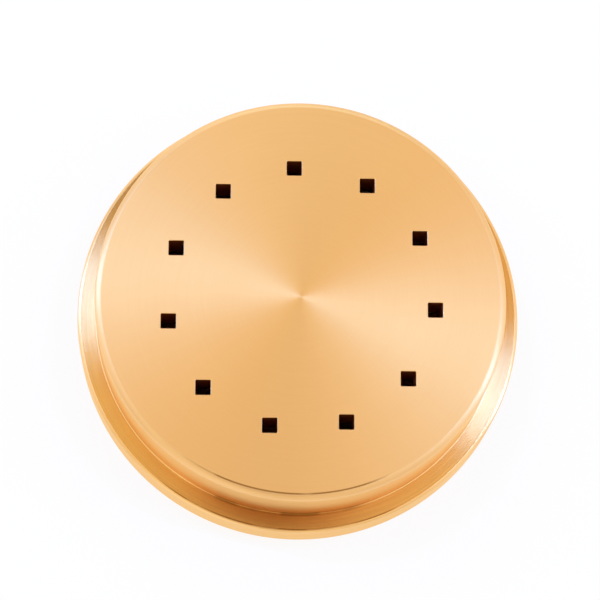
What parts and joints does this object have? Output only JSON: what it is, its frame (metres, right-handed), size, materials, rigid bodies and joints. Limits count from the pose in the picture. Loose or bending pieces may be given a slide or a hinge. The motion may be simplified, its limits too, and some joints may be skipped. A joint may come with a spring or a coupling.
{
  "type": "pasta extrusion die",
  "caption": "Round turned bronze die for a pasta extruder: a flange to seat it, a boss, a dough chamber in the back and a ring of square outlets in the face.",
  "frame": {"origin": "centre of the flat back, on which the die lies", "axes": "+Z along the die's axis out of the outlet face; X and Y along the sides of the square outlets, +Y away from the viewer of the picture"},
  "size_m": [0.059, 0.059, 0.0149],
  "materials": {
    "bronze": "fine turned"
  },
  "bodies": {
    "root": {"die_body": "bronze"}
  },
  "joints": []
}
